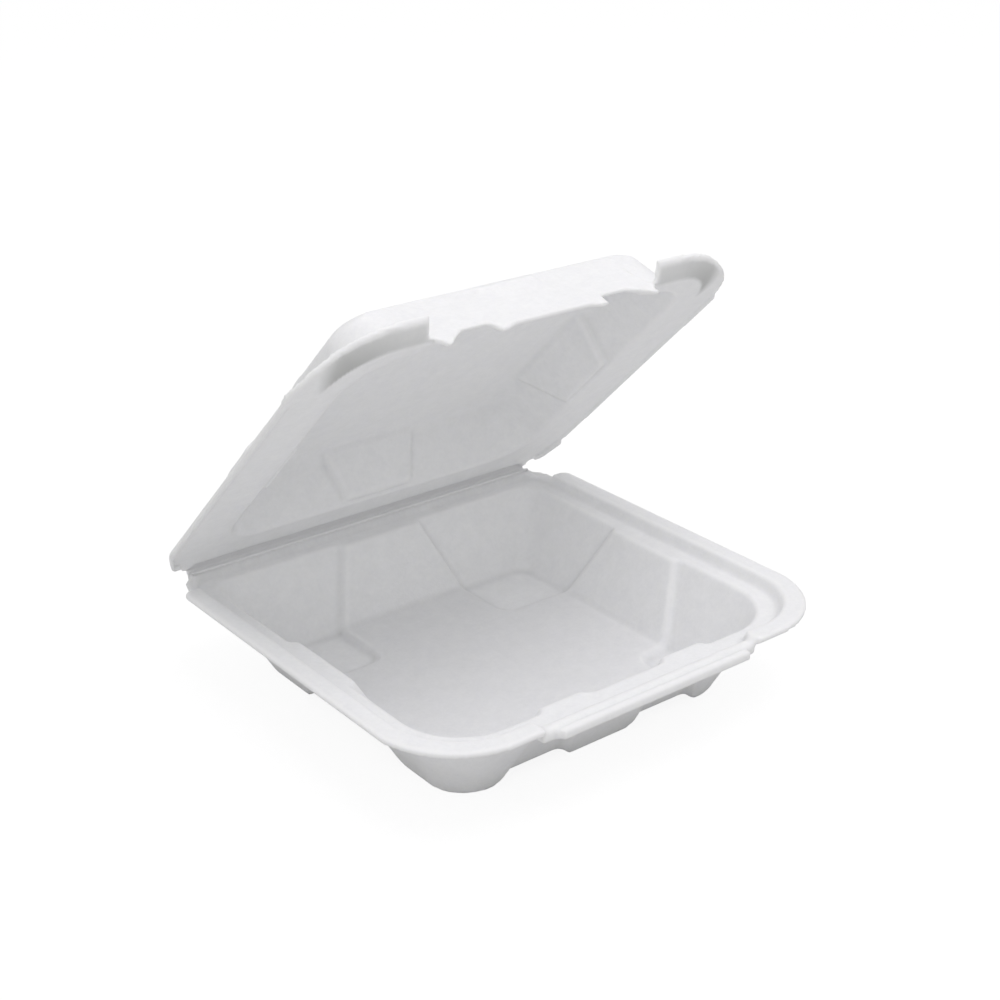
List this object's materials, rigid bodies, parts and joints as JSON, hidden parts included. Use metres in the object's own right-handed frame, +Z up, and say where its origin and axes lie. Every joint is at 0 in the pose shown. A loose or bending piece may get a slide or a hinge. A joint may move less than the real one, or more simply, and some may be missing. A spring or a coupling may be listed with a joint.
{
  "type": "foam clamshell container",
  "caption": "Moulded foam takeaway box, square single-compartment tray with a domed lid hinged along the back edge and a tab lock at the front.",
  "frame": {"origin": "on the table, under the middle of the tray, midway between the front lock and the back of the open lid", "axes": "+X along the hinge to the right seen from the front, +Y from the front lock to the hinge, +Z up from the feet"},
  "size_m": [0.2364, 0.2212, 0.1996],
  "materials": {
    "foam": "white foam sheet with a faint bead grain and a slight sheen"
  },
  "bodies": {
    "base": {"base": "foam"},
    "lid": {"lid": "foam"}
  },
  "joints": [
    {"name": "lid_hinge", "type": "hinge", "parent": "base", "child": "lid", "pos_m": [0, 0.1086, 0.0435], "axis": [-1, 0, 0], "range_deg": [-44.5, 135.5]}
  ]
}
